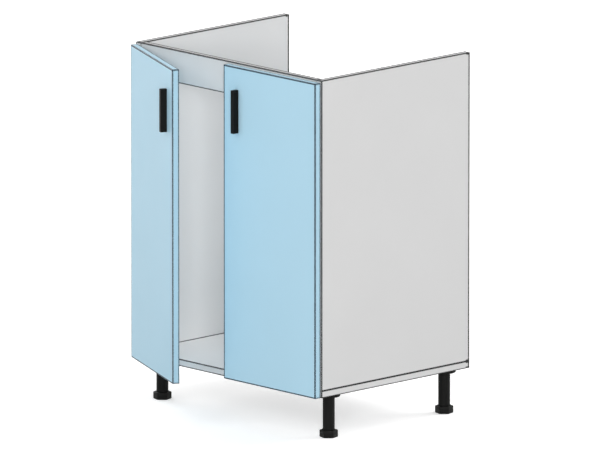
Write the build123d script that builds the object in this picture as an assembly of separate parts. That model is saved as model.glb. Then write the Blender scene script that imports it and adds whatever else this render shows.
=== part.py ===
"""Sink base cabinet with two doors: every piece is a solid of its own, in millimetres, +Z up.

The pieces are drawn in carcass coordinates: X runs right from the left side's outer face, Y runs back
from the front edges of the carcass, and Z runs up from the underside of the bottom panel. Each piece is
drawn with its door closed, swung to its stored angle, and then moved to the part's own frame, whose
origin is on the floor at the middle of the overall footprint.
"""

from build123d import *
import math
import os

# Carcass
WIDTH = 600.0
DEPTH = 457.0
HEIGHT = 720.0
BOARD = 16.0
BAND = 1.0
FRONT_RAIL_HEIGHT = 74.0
REAR_RAIL_HEIGHT = 96.0

# Doors
DOOR_HEIGHT = 715.0
DOOR_WIDTH = 295.0
DOOR_BOTTOM = 0.5
DOOR_REVEAL = 2.0
DOOR_GAP = 1.5
DOOR_TOP = DOOR_BOTTOM + DOOR_HEIGHT
LEFT_DOOR_ANGLE = 25.0
DOOR_BACK = -DOOR_GAP
DOOR_FRONT = DOOR_BACK - BOARD
BAND_ROUND = 0.6

# Handles: solid bars, fixed from inside with two screws
HANDLE_WIDTH = 10.0
HANDLE_PROJECTION = 15.0
HANDLE_LENGTH = 98.0
HANDLE_FROM_EDGE = 43.0
HANDLE_FROM_TOP = 100.0
HANDLE_SCREW_SPACING = 64.0
HANDLE_ROUND = 0.8
M4_RADIUS = 2.0
M4_PLAY = 0.25
M4_THREAD_IN = 8.0
M4_HEAD_RADIUS = 4.0
M4_HEAD_HEIGHT = 2.4

# Legs
LEG_HEIGHT = 100.0
LEG_FROM_SIDE = 30.0
LEG_FROM_FRONT = 51.0
LEG_FROM_BACK = 49.0
FLANGE_RADIUS = 26.0
FLANGE_HEIGHT = 7.0
FLANGE_ROUND = 2.0
TUBE_RADIUS = 13.5
TUBE_BORE = 11.5
SPIGOT_LENGTH = 14.0
NUT_LENGTH = 26.0
SPINDLE_RADIUS = 8.0
SPINDLE_LENGTH = 55.0
FOOT_HEIGHT = 16.5
FOOT_ACROSS_CORNERS = 41.8
FOOT_SIDES = 6
FOOT_TURN = 45.0
FOOT_CHAMFER = 1.4
FOOT_WELL_PLAY = 0.8
FOOT_WELL = 12.0
FOOT_LIFT_ROOM = 4.5
FLANGE_SCREW_CIRCLE = 19.5
FLANGE_SCREWS = 3

# Joinery
DOWEL_RADIUS = 4.0
DOWEL_LENGTH = 30.0
DOWEL_IN_THIN = 10.0
ASSEMBLY_SCREW_RADIUS = 3.2
ASSEMBLY_SCREW_LENGTH = 50.0
ASSEMBLY_HEAD_RADIUS = 4.8
ASSEMBLY_HEAD_HEIGHT = 4.0
CAM_RADIUS = 7.5
CAM_DEPTH = 12.5
CAM_FROM_END = 24.0
CAM_BOLT_RADIUS = 3.0

# Concealed hinges: heights, and the four pivots of the linkage with the left door closed
HINGE_FROM_END = 100.0
PIVOT_A = (32.5, 9.8)
PIVOT_B = (36.0, -9.5)
PIVOT_C = (10.9, -3.5)
PIVOT_D = (16.6, -5.4)
LONG_LINK_RATIO = 0.33
SHORT_LINK_RATIO = 0.415
LONG_BEND = ((17.6, -4.2), (24.5, 0.5))
OPEN_EYE = (17.09, -6.53)
OPEN_EYE_HOLE = 2.28
OPEN_EYE_RADIUS = 3.1
RUNNING = 0.05
PIN_RADIUS = 1.2
THIN_PIN_RADIUS = 1.0
STUB_PIN_RADIUS = 0.8

CUP_RADIUS = 17.5
CUP_WALL = 0.8
CUP_DEPTH = 12.0
CUP_FROM_EDGE = 5.0
CUP_FLANGE = 1.2
CUP_X = DOOR_REVEAL + CUP_FROM_EDGE + CUP_RADIUS
CUP_WING_REACH = 30.0
CUP_SCREW_RISE = 22.5
CUP_SCREW_SETBACK = 9.5
CHEEK_INNER = 6.6
CHEEK_END = 20.5
PIN_HALF_LENGTH = 8.6

LONG_LINK_HALF = 2.5
SHORT_LINK_INNER = 2.8
SHORT_LINK_OUTER = 4.2
ARM_INNER = 4.5
ARM_OUTER = 6.0
ARM_WEB = 1.5
ARM_BACK = 60.0

PLATE_THICKNESS = 3.5
PLATE_FRONT = 26.0
PLATE_BACK = 64.0
PLATE_HALF = 7.0
PLATE_WING_Y = 37.0
PLATE_WING_HALF_Y = 6.5
PLATE_WING_REACH = 25.0
SYSTEM_SPACING = 32.0
WOOD_SCREW_RADIUS = 1.9
WOOD_SCREW_LENGTH = 14.0
WOOD_HEAD_RADIUS = 3.6
WOOD_HEAD_HEIGHT = 2.0
CUP_HEAD_RADIUS = 3.4
CUP_HEAD_HEIGHT = 1.8
CUP_HEAD_ROUND = 1.0

BUMPER_RADIUS = 4.0
BUMPER_HEIGHT = 1.2
BUMPER_FROM_EDGE = 10.0

INNER_LEFT = BOARD
INNER_RIGHT = WIDTH - BOARD
HINGE_HEIGHTS = {"lower": DOOR_BOTTOM + HINGE_FROM_END, "upper": DOOR_TOP - HINGE_FROM_END}
LEG_PLACES = {
    "front_left": (LEG_FROM_SIDE, LEG_FROM_FRONT),
    "front_right": (WIDTH - LEG_FROM_SIDE, LEG_FROM_FRONT),
    "rear_left": (LEG_FROM_SIDE, DEPTH - LEG_FROM_BACK),
    "rear_right": (WIDTH - LEG_FROM_SIDE, DEPTH - LEG_FROM_BACK),
}
BOTTOM_DOWELS_Y = (90.0, 228.0, 367.0)
BOTTOM_SCREWS_Y = (140.0, 317.0)


# ---------------------------------------------------------------- helpers


def block(x0, x1, y0, y1, z0, z1):
    """A box between two corners."""
    return Pos((x0 + x1) / 2, (y0 + y1) / 2, (z0 + z1) / 2) * Box(x1 - x0, y1 - y0, z1 - z0)


def rod(radius, start, direction, length):
    """A cylinder that starts at a point and runs along +X, -X, +Y, -Y, +Z or -Z."""
    plane = Plane(origin=start, z_dir=direction)
    return extrude(plane * Circle(radius), length)


def turned(point, about, degrees):
    """A point in plan, turned about another, anticlockwise seen from above."""
    cosine = math.cos(math.radians(degrees))
    sine = math.sin(math.radians(degrees))
    dx, dy = point[0] - about[0], point[1] - about[1]
    return (about[0] + dx * cosine - dy * sine, about[1] + dx * sine + dy * cosine)


def strip(start, end, half_width):
    """A flat strip in plan with round ends."""
    dx, dy = end[0] - start[0], end[1] - start[1]
    middle = ((start[0] + end[0]) / 2, (start[1] + end[1]) / 2)
    angle = math.degrees(math.atan2(dy, dx))
    bar = Pos(*middle) * Rot(0, 0, angle) * Rectangle(math.hypot(dx, dy), 2 * half_width)
    return bar + disc(start, half_width) + disc(end, half_width)


def disc(centre, radius):
    """A flat disc in plan."""
    return Pos(*centre) * Circle(radius)


def raised(outline, z0, z1):
    """A plan outline made solid between two heights."""
    return extrude(Pos(0, 0, z0) * outline, z1 - z0)


def both_ways(outline, inner, outer):
    """Two equal plates, one above and one below the hinge's middle plane."""
    return raised(outline, inner, outer) + raised(outline, -outer, -inner)


def mirrored(shape):
    """The same piece on the right-hand side of the cabinet."""
    return mirror(shape, about=Plane.YZ.offset(WIDTH / 2))


# ---------------------------------------------------------------- where a door and its links stand


def long_link_turn(shape, angle):
    """The long link's place with the left door open by an angle."""
    return shape.rotate(Axis((*PIVOT_A, 0), (0, 0, 1)), LONG_LINK_RATIO * angle)


def short_link_turn(shape, angle):
    """The short link's place with the left door open by an angle."""
    return shape.rotate(Axis((*PIVOT_B, 0), (0, 0, 1)), SHORT_LINK_RATIO * angle)


def door_turn(shape, angle):
    """The door's place with the left door open by an angle: carried by pivot C, turned about it."""
    carried = turned(PIVOT_C, PIVOT_A, LONG_LINK_RATIO * angle)
    opened = shape.rotate(Axis((*PIVOT_C, 0), (0, 0, 1)), -angle)
    return Pos(carried[0] - PIVOT_C[0], carried[1] - PIVOT_C[1], 0) * opened


def overall_front(angle):
    """The most forward Y of the open left door and its handle."""
    carried = turned(PIVOT_C, PIVOT_A, LONG_LINK_RATIO * angle)
    free_edge = DOOR_REVEAL + DOOR_WIDTH
    handle_edge = free_edge - HANDLE_FROM_EDGE + HANDLE_WIDTH / 2
    corners = [(free_edge, DOOR_FRONT), (handle_edge, DOOR_FRONT - HANDLE_PROJECTION)]
    shift = carried[1] - PIVOT_C[1]
    return min(turned(corner, PIVOT_C, -angle)[1] + shift for corner in corners)


ORIGIN = (WIDTH / 2, (DEPTH + overall_front(LEFT_DOOR_ANGLE)) / 2, -LEG_HEIGHT)


# ---------------------------------------------------------------- joinery


def bottom_dowels():
    """Dowels that stand in the bottom panel under the left side."""
    top = BOARD - 4.0
    return [rod(DOWEL_RADIUS, (BOARD / 2, y, BOARD - top), (0, 0, 1), DOWEL_LENGTH) for y in BOTTOM_DOWELS_Y]


def rail_dowels(y, heights):
    """Dowels between the left side and a rail's end."""
    start = BOARD - DOWEL_IN_THIN
    return [rod(DOWEL_RADIUS, (start, y, z), (1, 0, 0), DOWEL_LENGTH) for z in heights]


def left_dowels():
    """Every dowel at the left-hand end."""
    top_rail = [HEIGHT - FRONT_RAIL_HEIGHT + 16.0, HEIGHT - 16.0]
    low_rail = [BOARD + 20.0, BOARD + REAR_RAIL_HEIGHT - 20.0]
    return bottom_dowels() + rail_dowels(BOARD / 2, top_rail) + rail_dowels(DEPTH - BOARD / 2, low_rail)


def left_assembly_screws():
    """Screws up through the bottom panel into the left side, with their heads sunk in its underside."""
    screws = []
    for y in BOTTOM_SCREWS_Y:
        head = rod(ASSEMBLY_HEAD_RADIUS, (BOARD / 2, y, 0.3), (0, 0, 1), ASSEMBLY_HEAD_HEIGHT)
        shank = rod(ASSEMBLY_SCREW_RADIUS, (BOARD / 2, y, 0.3), (0, 0, 1), ASSEMBLY_SCREW_LENGTH)
        screws.append(head + shank)
    return screws


def left_assembly_holes():
    """The holes for the assembly screws, open at the underside."""
    holes = []
    for y in BOTTOM_SCREWS_Y:
        sink = rod(ASSEMBLY_HEAD_RADIUS, (BOARD / 2, y, 0), (0, 0, 1), ASSEMBLY_HEAD_HEIGHT + 0.3)
        shank = rod(ASSEMBLY_SCREW_RADIUS, (BOARD / 2, y, 0), (0, 0, 1), ASSEMBLY_SCREW_LENGTH + 0.3)
        holes.append(sink + shank)
    return holes


def cam_places():
    """Where the left-hand cams sit: the cam's X, the face it enters, the way in, and its height."""
    front = (BOARD, -1, HEIGHT - FRONT_RAIL_HEIGHT / 2)
    rear = (DEPTH - BOARD, 1, BOARD + REAR_RAIL_HEIGHT / 2)
    return [front, rear]


def left_cams():
    """Cam discs let into the rails' inner faces near their left-hand ends."""
    cams = []
    for face, way, z in cam_places():
        cams.append(rod(CAM_RADIUS, (INNER_LEFT + CAM_FROM_END, face, z), (0, way, 0), CAM_DEPTH))
    return cams


def left_cam_bolts():
    """Bolts that the cams draw on, screwed into the left side's inner face."""
    bolts = []
    for face, way, z in cam_places():
        y = face + way * BOARD / 2
        length = DOWEL_IN_THIN + CAM_FROM_END - CAM_RADIUS
        bolts.append(rod(CAM_BOLT_RADIUS, (BOARD - DOWEL_IN_THIN, y, z), (1, 0, 0), length))
    return bolts


def joinery(left_pieces):
    """Left-hand joinery and its mirror image, as one list."""
    return left_pieces + [mirrored(piece) for piece in left_pieces]


# ---------------------------------------------------------------- carcass


def plate_screw_places():
    """Heights of the mounting plates' screws, all on the same setback line."""
    return [z + way * SYSTEM_SPACING / 2 for z in HINGE_HEIGHTS.values() for way in (-1, 1)]


def left_side_panel():
    """Side panel, standing on the bottom panel, bored for its dowels, screws and hinge plates."""
    panel = block(0, BOARD, BAND, DEPTH, BOARD, HEIGHT)
    cuts = left_dowels() + left_assembly_holes() + left_cam_bolts()
    for z in plate_screw_places():
        start = (BOARD + PLATE_THICKNESS, PLATE_WING_Y, z)
        cuts.append(rod(WOOD_SCREW_RADIUS, start, (-1, 0, 0), WOOD_SCREW_LENGTH))
    return panel - cuts


def bottom_panel():
    """Full-width bottom panel, bored for dowels, assembly screws and the legs' screws."""
    panel = block(0, WIDTH, BAND, DEPTH, 0, BOARD)
    cuts = joinery(left_dowels() + left_assembly_holes())
    for x, y in LEG_PLACES.values():
        cuts += flange_screw_shanks(x, y)
    return panel - cuts


def front_rail():
    """Rail on edge between the sides, flush with their front edges."""
    rail = block(INNER_LEFT, INNER_RIGHT, BAND, BOARD, HEIGHT - FRONT_RAIL_HEIGHT, HEIGHT)
    return rail - joinery(left_dowels() + left_cams() + left_cam_bolts())


def rear_rail():
    """Low rail at the back, standing on the bottom panel."""
    rail = block(INNER_LEFT, INNER_RIGHT, DEPTH - BOARD, DEPTH, BOARD, BOARD + REAR_RAIL_HEIGHT)
    return rail - joinery(left_dowels() + left_cams() + left_cam_bolts())


def front_bands():
    """Edge bands on the front edges of the sides, the bottom panel and the front rail."""
    left = block(0, BOARD, 0, BAND, BOARD, HEIGHT)
    bottom = block(0, WIDTH, 0, BAND, 0, BOARD)
    rail = block(INNER_LEFT, INNER_RIGHT, 0, BAND, HEIGHT - FRONT_RAIL_HEIGHT, HEIGHT)
    return [left, mirrored(left), bottom, rail]


# ---------------------------------------------------------------- door, drawn as the left one, closed


def handle_centre_x():
    """The handle's middle, measured from the door's free edge."""
    return DOOR_REVEAL + DOOR_WIDTH - HANDLE_FROM_EDGE


def handle_screw_heights():
    """Heights of the two handle screws."""
    middle = DOOR_TOP - HANDLE_FROM_TOP
    return [middle - HANDLE_SCREW_SPACING / 2, middle + HANDLE_SCREW_SPACING / 2]


def handle_screw(z, play=0.0):
    """A screw from the back of the door into the handle; play widens and deepens it into its hole."""
    seat = DOOR_BACK - M4_HEAD_HEIGHT - 0.2
    x = handle_centre_x()
    head = rod(M4_HEAD_RADIUS + play, (x, seat, z), (0, 1, 0), M4_HEAD_HEIGHT + play)
    shank = rod(M4_RADIUS + play, (x, seat, z), (0, -1, 0), seat - DOOR_FRONT + M4_THREAD_IN + play)
    return head + shank


def door_panel():
    """Slab of the door inside its edge bands, bored for the hinge cups and every screw."""
    x0, x1 = DOOR_REVEAL + BAND, DOOR_REVEAL + DOOR_WIDTH - BAND
    panel = block(x0, x1, DOOR_FRONT, DOOR_BACK, DOOR_BOTTOM + BAND, DOOR_TOP - BAND)
    cuts = [handle_screw(z, M4_PLAY) for z in handle_screw_heights()]
    for z in HINGE_HEIGHTS.values():
        cuts.append(rod(CUP_RADIUS, (CUP_X, DOOR_BACK, z), (0, -1, 0), CUP_DEPTH))
        cuts += cup_screws(z)
    return panel - cuts


def door_bands():
    """Edge bands round the door, with their long outer edges eased."""
    x0, x1 = DOOR_REVEAL, DOOR_REVEAL + DOOR_WIDTH
    outer = block(x0, x1, DOOR_FRONT, DOOR_BACK, DOOR_BOTTOM, DOOR_TOP)
    long_edges = outer.edges().filter_by(Axis.X) + outer.edges().filter_by(Axis.Z)
    outer = fillet(long_edges, BAND_ROUND)
    return outer - block(x0 + BAND, x1 - BAND, DOOR_FRONT - 1, DOOR_BACK + 1, DOOR_BOTTOM + BAND, DOOR_TOP - BAND)


def handle():
    """Solid bar handle with two blind threaded holes in its back."""
    x = handle_centre_x()
    middle = DOOR_TOP - HANDLE_FROM_TOP
    half = HANDLE_LENGTH / 2
    bar = block(x - HANDLE_WIDTH / 2, x + HANDLE_WIDTH / 2, DOOR_FRONT - HANDLE_PROJECTION, DOOR_FRONT,
                middle - half, middle + half)
    front = bar.faces().sort_by(Axis.Y)[0].edges()
    ends = bar.edges().filter_by(Axis.Y)
    bar = fillet(front + ends, HANDLE_ROUND)
    return bar - [handle_screw(z, RUNNING) for z in handle_screw_heights()]


def bumpers():
    """Soft buffers on the door's back that meet the bottom panel and the front rail."""
    x = DOOR_REVEAL + DOOR_WIDTH - BUMPER_FROM_EDGE
    heights = (BOARD / 2, HEIGHT - FRONT_RAIL_HEIGHT / 4)
    return [rod(BUMPER_RADIUS, (x, DOOR_BACK, z), (0, 1, 0), BUMPER_HEIGHT) for z in heights]


# ---------------------------------------------------------------- concealed hinge, drawn for the left side


def cup_screws(z):
    """Two screws with round heads through the cup's wings into the door."""
    screws = []
    x = CUP_X + CUP_SCREW_SETBACK
    for way in (-1, 1):
        seat = (x, DOOR_BACK + CUP_FLANGE, z + way * CUP_SCREW_RISE)
        head = rod(CUP_HEAD_RADIUS, seat, (0, 1, 0), CUP_HEAD_HEIGHT)
        head = fillet(head.edges().sort_by(Axis.Y)[-1], CUP_HEAD_ROUND)
        screws.append(head + rod(WOOD_SCREW_RADIUS, seat, (0, -1, 0), WOOD_SCREW_LENGTH))
    return screws


def cup(z):
    """Round cup let into the door, its wings on the door's back, and the cheeks that hold the pins."""
    centre = (CUP_X, DOOR_BACK, z)
    shell = rod(CUP_RADIUS, centre, (0, -1, 0), CUP_DEPTH)
    wings = block(CUP_X - 7, CUP_X + 16, DOOR_BACK, DOOR_BACK + CUP_FLANGE, z - CUP_WING_REACH, z + CUP_WING_REACH)
    wings = fillet(wings.edges().filter_by(Axis.Y), 4)
    cavity_depth = CUP_DEPTH - CUP_WALL
    hollow = rod(CUP_RADIUS - CUP_WALL, (CUP_X, DOOR_BACK + 5, z), (0, -1, 0), cavity_depth + 5)
    body = shell + wings - hollow
    cavity = rod(CUP_RADIUS - CUP_WALL, centre, (0, -1, 0), cavity_depth)
    x0 = CUP_X - CUP_RADIUS
    slot = block(x0 - 1, CHEEK_END, DOOR_BACK - CUP_DEPTH, DOOR_BACK + 1, z - CHEEK_INNER, z + CHEEK_INNER)
    beyond = block(CHEEK_END, CUP_X + CUP_RADIUS, DOOR_BACK - CUP_DEPTH, DOOR_BACK + 1, z - 20, z + 20)
    body = body + (cavity - slot - beyond)
    notch = block(x0 - 1, x0 + 3, DOOR_BACK - 3, DOOR_BACK + 3, z - LONG_LINK_HALF - 0.8, z + LONG_LINK_HALF + 0.8)
    clear_of_side = block(-10, BOARD + 1.5, DOOR_BACK, DOOR_BACK + 5, z - 40, z + 40)
    return body - notch - clear_of_side - cup_pins(z) - cup_screws(z)


def cup_pins(z):
    """Pin C right across the cup, and pin D as two stubs that leave the middle free."""
    full = rod(PIN_RADIUS, (*PIVOT_C, z - PIN_HALF_LENGTH), (0, 0, 1), 2 * PIN_HALF_LENGTH)
    stub = PIN_HALF_LENGTH - SHORT_LINK_INNER
    upper = rod(STUB_PIN_RADIUS, (*PIVOT_D, z + SHORT_LINK_INNER), (0, 0, 1), stub)
    lower = rod(STUB_PIN_RADIUS, (*PIVOT_D, z - SHORT_LINK_INNER), (0, 0, -1), stub)
    return [full, upper, lower]


def long_link(z):
    """Cranked link from pivot A on the arm to pivot C in the cup, in the hinge's middle plane."""
    first, second = LONG_BEND
    outline = strip(PIVOT_C, first, 1.3) + strip(first, second, 1.3) + strip(second, PIVOT_A, 1.8)
    outline += disc(PIVOT_C, 2.2) + disc(PIVOT_A, 3.2)
    outline -= disc(PIVOT_C, PIN_RADIUS + RUNNING)
    outline -= disc(PIVOT_A, PIN_RADIUS + RUNNING)
    return raised(outline, z - LONG_LINK_HALF, z + LONG_LINK_HALF)


def short_link(z):
    """Forked link from pivot B on the arm to pivot D in the cup; its eye at D is wide and open."""
    outline = strip(OPEN_EYE, PIVOT_B, 1.6) + disc(OPEN_EYE, OPEN_EYE_RADIUS) + disc(PIVOT_B, 2.4)
    outline -= disc(OPEN_EYE, OPEN_EYE_HOLE)
    outline -= disc(PIVOT_B, THIN_PIN_RADIUS + RUNNING)
    plates = both_ways(outline, SHORT_LINK_INNER, SHORT_LINK_OUTER)
    length = math.dist(OPEN_EYE, PIVOT_B)
    along = ((PIVOT_B[0] - OPEN_EYE[0]) / length, (PIVOT_B[1] - OPEN_EYE[1]) / length)
    aside = (along[1], -along[0])
    ends = []
    for share in (0.32, 0.62):
        ends.append(tuple(OPEN_EYE[i] + along[i] * length * share + aside[i] * 1.9 for i in (0, 1)))
    bridge = raised(strip(ends[0], ends[1], 0.7), -SHORT_LINK_OUTER, SHORT_LINK_OUTER)
    return Pos(0, 0, z) * (plates + bridge)


def arm_outline():
    """Side view of the arm's walls in plan: a nose at pivot B, a hump over pivot A and a long tail."""
    tail_low = BOARD + PLATE_THICKNESS
    corners = [
        (PIVOT_B[0] - 2.6, PIVOT_B[1]),
        (PIVOT_A[0] - 3.6, PIVOT_A[1] - 4),
        (PIVOT_A[0] - 3.6, PIVOT_A[1] + 3),
        (tail_low, PLATE_FRONT + 1),
        (tail_low, ARM_BACK),
        (tail_low + 9, ARM_BACK),
        (PIVOT_A[0] + 5.5, PIVOT_A[1] + 8),
        (PIVOT_A[0] + 5.5, PIVOT_A[1] - 6),
        (PIVOT_B[0] + 2.6, PIVOT_B[1]),
    ]
    return make_face(Polyline(*corners, close=True)) + disc(PIVOT_B, 2.6)


def arm(z):
    """Channel-shaped arm: two walls that hold pins A and B, joined along their outer edge by a web."""
    walls = both_ways(arm_outline(), ARM_INNER, ARM_OUTER)
    tail_low = BOARD + PLATE_THICKNESS
    web = [
        (tail_low + 9, ARM_BACK),
        (PIVOT_A[0] + 5.5, PIVOT_A[1] + 8),
        (PIVOT_A[0] + 5.5, PIVOT_A[1] - 6),
        (PIVOT_A[0] + 5.5 - ARM_WEB, PIVOT_A[1] - 6),
        (PIVOT_A[0] + 5.5 - ARM_WEB, PIVOT_A[1] + 7.5),
        (tail_low + 9 - ARM_WEB, ARM_BACK),
    ]
    channel = walls + raised(make_face(Polyline(*web, close=True)), -ARM_OUTER, ARM_OUTER)
    holes = both_ways(disc(PIVOT_A, PIN_RADIUS), 0, 2 * ARM_OUTER)
    holes += both_ways(disc(PIVOT_B, THIN_PIN_RADIUS), 0, 2 * ARM_OUTER)
    return Pos(0, 0, z) * (channel - holes) - arm_screws(z)


def arm_pins(z):
    """Pins A and B, riveted in the arm's walls."""
    a_pin = rod(PIN_RADIUS, (*PIVOT_A, z - ARM_OUTER), (0, 0, 1), 2 * ARM_OUTER)
    b_pin = rod(THIN_PIN_RADIUS, (*PIVOT_B, z - ARM_OUTER), (0, 0, 1), 2 * ARM_OUTER)
    return [a_pin, b_pin]


def mounting_plate(z):
    """Cross-shaped plate on the side panel, with a boss under the arm's screw."""
    x0, x1 = BOARD, BOARD + PLATE_THICKNESS
    spine = block(x0, x1, PLATE_FRONT, PLATE_BACK, z - PLATE_HALF, z + PLATE_HALF)
    wings = block(x0, x1, PLATE_WING_Y - PLATE_WING_HALF_Y, PLATE_WING_Y + PLATE_WING_HALF_Y,
                  z - PLATE_WING_REACH, z + PLATE_WING_REACH)
    boss = block(x0, x1 + 4, 44, 56, z - ARM_INNER + 0.3, z + ARM_INNER - 0.3)
    cross = fillet((spine + wings).edges().filter_by(Axis.X), 1.5)
    return cross + boss - plate_screws(z) - arm_screws(z)


def plate_screws(z):
    """Two screws that fix a mounting plate to the side panel, heads sunk in the plate."""
    screws = []
    for way in (-1, 1):
        top = (BOARD + PLATE_THICKNESS, PLATE_WING_Y, z + way * SYSTEM_SPACING / 2)
        head = rod(WOOD_HEAD_RADIUS, top, (-1, 0, 0), WOOD_HEAD_HEIGHT)
        screws.append(head + rod(WOOD_SCREW_RADIUS, top, (-1, 0, 0), WOOD_SCREW_LENGTH))
    return screws


def arm_screws(z):
    """The screw that holds the arm down on the plate's boss."""
    start = (BOARD + 1, 50.0, z)
    shank = rod(M4_RADIUS, start, (1, 0, 0), 14.0)
    head = rod(3.4, (BOARD + 15, 50.0, z), (1, 0, 0), 2.4)
    return [shank + head]


# ---------------------------------------------------------------- legs


def flange_screw_places(x, y):
    """Places of a leg's flange screws, evenly round its axis."""
    places = []
    for number in range(FLANGE_SCREWS):
        angle = math.radians(90 + 360 * number / FLANGE_SCREWS)
        places.append((x + FLANGE_SCREW_CIRCLE * math.cos(angle), y + FLANGE_SCREW_CIRCLE * math.sin(angle)))
    return places


def flange_screw_shanks(x, y):
    """The shanks of a leg's screws, up into the bottom panel."""
    return [rod(WOOD_SCREW_RADIUS, (px, py, -FLANGE_HEIGHT), (0, 0, 1), FLANGE_HEIGHT + 12)
            for px, py in flange_screw_places(x, y)]


def flange_screws(x, y):
    """A leg's screws, with heads sunk in the flange's underside."""
    heads = [rod(WOOD_HEAD_RADIUS, (px, py, -FLANGE_HEIGHT), (0, 0, 1), WOOD_HEAD_HEIGHT)
             for px, py in flange_screw_places(x, y)]
    return [head + shank for head, shank in zip(heads, flange_screw_shanks(x, y))]


def leg_flange(x, y):
    """Round flange under the bottom panel, with a spigot down into the tube."""
    plate = rod(FLANGE_RADIUS, (x, y, -FLANGE_HEIGHT), (0, 0, 1), FLANGE_HEIGHT)
    plate = fillet(plate.edges().sort_by(Axis.Z)[0], FLANGE_ROUND)
    spigot = rod(TUBE_BORE - RUNNING, (x, y, -FLANGE_HEIGHT), (0, 0, -1), SPIGOT_LENGTH)
    return plate + spigot - flange_screws(x, y)


def tube_end():
    """Height of the tube's lower end, inside the foot's well."""
    return -LEG_HEIGHT + FOOT_HEIGHT - FOOT_WELL + FOOT_LIFT_ROOM


def leg_tube(x, y):
    """Leg tube with the nut for the foot's spindle at its lower end."""
    end = tube_end()
    tube = rod(TUBE_RADIUS, (x, y, end), (0, 0, 1), -FLANGE_HEIGHT - end)
    bore = rod(TUBE_BORE, (x, y, end + NUT_LENGTH), (0, 0, 1), -FLANGE_HEIGHT - end - NUT_LENGTH)
    thread = rod(SPINDLE_RADIUS + RUNNING, (x, y, end), (0, 0, 1), NUT_LENGTH)
    return tube - bore - thread


def leg_foot(x, y):
    """Six-sided foot with a well round the tube's end and a spindle up into the tube's nut."""
    base = Pos(x, y, -LEG_HEIGHT) * RegularPolygon(FOOT_ACROSS_CORNERS / 2, FOOT_SIDES, rotation=FOOT_TURN)
    foot = extrude(base, FOOT_HEIGHT)
    rims = foot.faces().sort_by(Axis.Z)[0].edges() + foot.faces().sort_by(Axis.Z)[-1].edges()
    foot = chamfer(rims, FOOT_CHAMFER)
    floor = -LEG_HEIGHT + FOOT_HEIGHT - FOOT_WELL
    well = rod(TUBE_RADIUS + FOOT_WELL_PLAY, (x, y, floor), (0, 0, 1), FOOT_WELL + 1)
    spindle = rod(SPINDLE_RADIUS, (x, y, floor), (0, 0, 1), SPINDLE_LENGTH)
    return foot - well + spindle


# ---------------------------------------------------------------- writing the parts


def save(name, pieces):
    """Moves a piece, or a list of separate pieces, to the part's own frame and writes it."""
    if not isinstance(pieces, list):
        pieces = [pieces]
    solids = []
    for piece in pieces:
        moved = Pos(-ORIGIN[0], -ORIGIN[1], -ORIGIN[2]) * piece
        solids += moved.solids()
    result = solids[0] if len(solids) == 1 else Compound(solids)
    export_step(result, "parts/" + name + ".step")


def save_side(name, pieces, turn, angle):
    """Writes one door's pieces: the left ones swung open by an angle, the right ones mirrored and closed."""
    if not isinstance(pieces, list):
        pieces = [pieces]
    save("left_" + name, [turn(piece, angle) for piece in pieces])
    save("right_" + name, [mirrored(piece) for piece in pieces])


def stay(shape, angle):
    """A piece of the carcass doesn't turn with the door."""
    return shape


def at_both_hinges(maker):
    """The same hinge piece, or pieces, at the lower and the upper hinge."""
    pieces = []
    for z in HINGE_HEIGHTS.values():
        made = maker(z)
        pieces += made if isinstance(made, list) else [made]
    return pieces


os.makedirs("parts", exist_ok=True)

side = left_side_panel()
save("left_side_panel", side)
save("right_side_panel", mirrored(side))
save("bottom_panel", bottom_panel())
save("front_rail", front_rail())
save("rear_rail", rear_rail())
save("front_bands", front_bands())
save("dowels", joinery(left_dowels()))
save("assembly_screws", joinery(left_assembly_screws()))
save("cams", [cam - left_cam_bolts() for cam in left_cams()]
     + [mirrored(cam - left_cam_bolts()) for cam in left_cams()])
save("cam_bolts", joinery(left_cam_bolts()))

save_side("door_panel", door_panel(), door_turn, LEFT_DOOR_ANGLE)
save_side("door_bands", door_bands(), door_turn, LEFT_DOOR_ANGLE)
save_side("handle", handle(), door_turn, LEFT_DOOR_ANGLE)
save_side("handle_screws", [handle_screw(z) for z in handle_screw_heights()], door_turn, LEFT_DOOR_ANGLE)
save_side("bumpers", bumpers(), door_turn, LEFT_DOOR_ANGLE)

for level, height in HINGE_HEIGHTS.items():
    save_side(level + "_hinge_cup", cup(height), door_turn, LEFT_DOOR_ANGLE)
    save_side(level + "_long_link", long_link(height), long_link_turn, LEFT_DOOR_ANGLE)
    save_side(level + "_short_link", short_link(height), short_link_turn, LEFT_DOOR_ANGLE)
    save_side(level + "_hinge_arm", arm(height), stay, LEFT_DOOR_ANGLE)
save_side("cup_pins", at_both_hinges(cup_pins), door_turn, LEFT_DOOR_ANGLE)
save_side("cup_screws", at_both_hinges(cup_screws), door_turn, LEFT_DOOR_ANGLE)
save_side("arm_pins", at_both_hinges(arm_pins), stay, LEFT_DOOR_ANGLE)
save_side("mounting_plates", at_both_hinges(mounting_plate), stay, LEFT_DOOR_ANGLE)
save_side("plate_screws", at_both_hinges(plate_screws) + at_both_hinges(arm_screws), stay, LEFT_DOOR_ANGLE)

all_flange_screws = []
for place, (leg_x, leg_y) in LEG_PLACES.items():
    save(place + "_leg_flange", leg_flange(leg_x, leg_y))
    save(place + "_leg_tube", leg_tube(leg_x, leg_y))
    save(place + "_foot", leg_foot(leg_x, leg_y))
    all_flange_screws += flange_screws(leg_x, leg_y)
save("leg_screws", all_flange_screws)

print("origin in carcass coordinates", [round(value, 3) for value in ORIGIN])
for side_name, angle in (("left", LEFT_DOOR_ANGLE), ("closed", 0.0)):
    carried = turned(PIVOT_C, PIVOT_A, LONG_LINK_RATIO * angle)
    print(side_name, "pivot C in carcass coordinates", [round(value, 3) for value in carried])
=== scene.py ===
"""Looks of a sink base cabinet: grey melamine carcass, light-blue doors, black handles and legs.

The file follows the cabinet as it is put together: boards, edge bands, joinery, legs, hinges, doors,
buffers, handles, and last the floor, the light and the camera. Lengths are in metres unless a name says
otherwise.
"""

import math

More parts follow.
